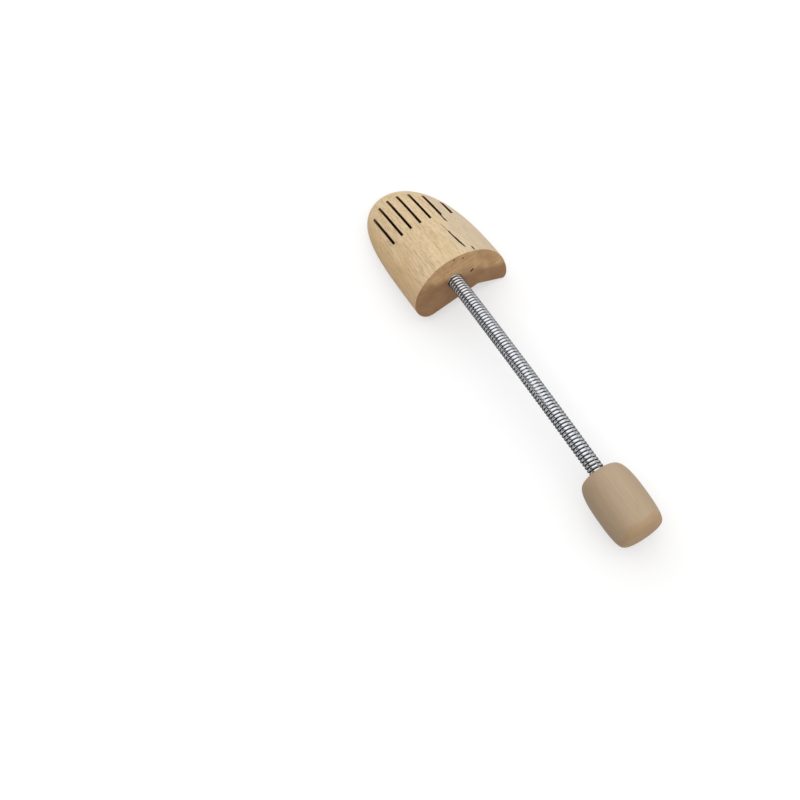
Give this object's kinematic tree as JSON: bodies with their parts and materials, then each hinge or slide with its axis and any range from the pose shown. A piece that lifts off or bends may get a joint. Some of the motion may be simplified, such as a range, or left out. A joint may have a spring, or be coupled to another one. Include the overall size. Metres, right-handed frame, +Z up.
{
  "type": "shoe stretcher",
  "caption": "Spiral shoe stretcher for a right shoe: a shaped wooden toe block and a turned wooden heel knob, joined by a coiled steel spring that arches to push them apart.",
  "frame": {"origin": "middle of the flat underside of the toe block, on the spring's centre plane", "axes": "+X from the toe to the heel along the spring, +Y to the outer side of the foot, +Z up"},
  "size_m": [0.2832, 0.0613, 0.041],
  "materials": {
    "block_wood": "fine sanded, bare pale hardwood",
    "knob_wood": "turned and smoothed, bare",
    "spring_steel": "bright plated wire",
    "nail_steel": "plain wire nail"
  },
  "bodies": {
    "toe": {"toe_block": "block_wood", "toe_spring_nail": "nail_steel"},
    "spring": {"spiral_spring": "spring_steel"},
    "heel": {"heel_knob": "knob_wood", "knob_spring_nail": "nail_steel"}
  },
  "joints": [
    {"name": "spring_bend_at_block", "type": "hinge", "parent": "toe", "child": "spring", "pos_m": [0.0837, 0, 0.02358], "axis": [0, -1, 0], "range_deg": [0, 60], "stiffness_Nm_per_rad": 0.115, "deforming": ["spiral_spring"]},
    {"name": "spring_bend_at_knob", "type": "hinge", "parent": "spring", "child": "heel", "pos_m": [0.15765, 0, 0.02144], "axis": [0, 1, 0], "range_deg": [0, 120], "stiffness_Nm_per_rad": 0.115, "deforming": ["spiral_spring"]}
  ],
  "couplings": [
    {"joint": "spring_bend_at_knob", "follows": "spring_bend_at_block", "ratio": 2}
  ]
}
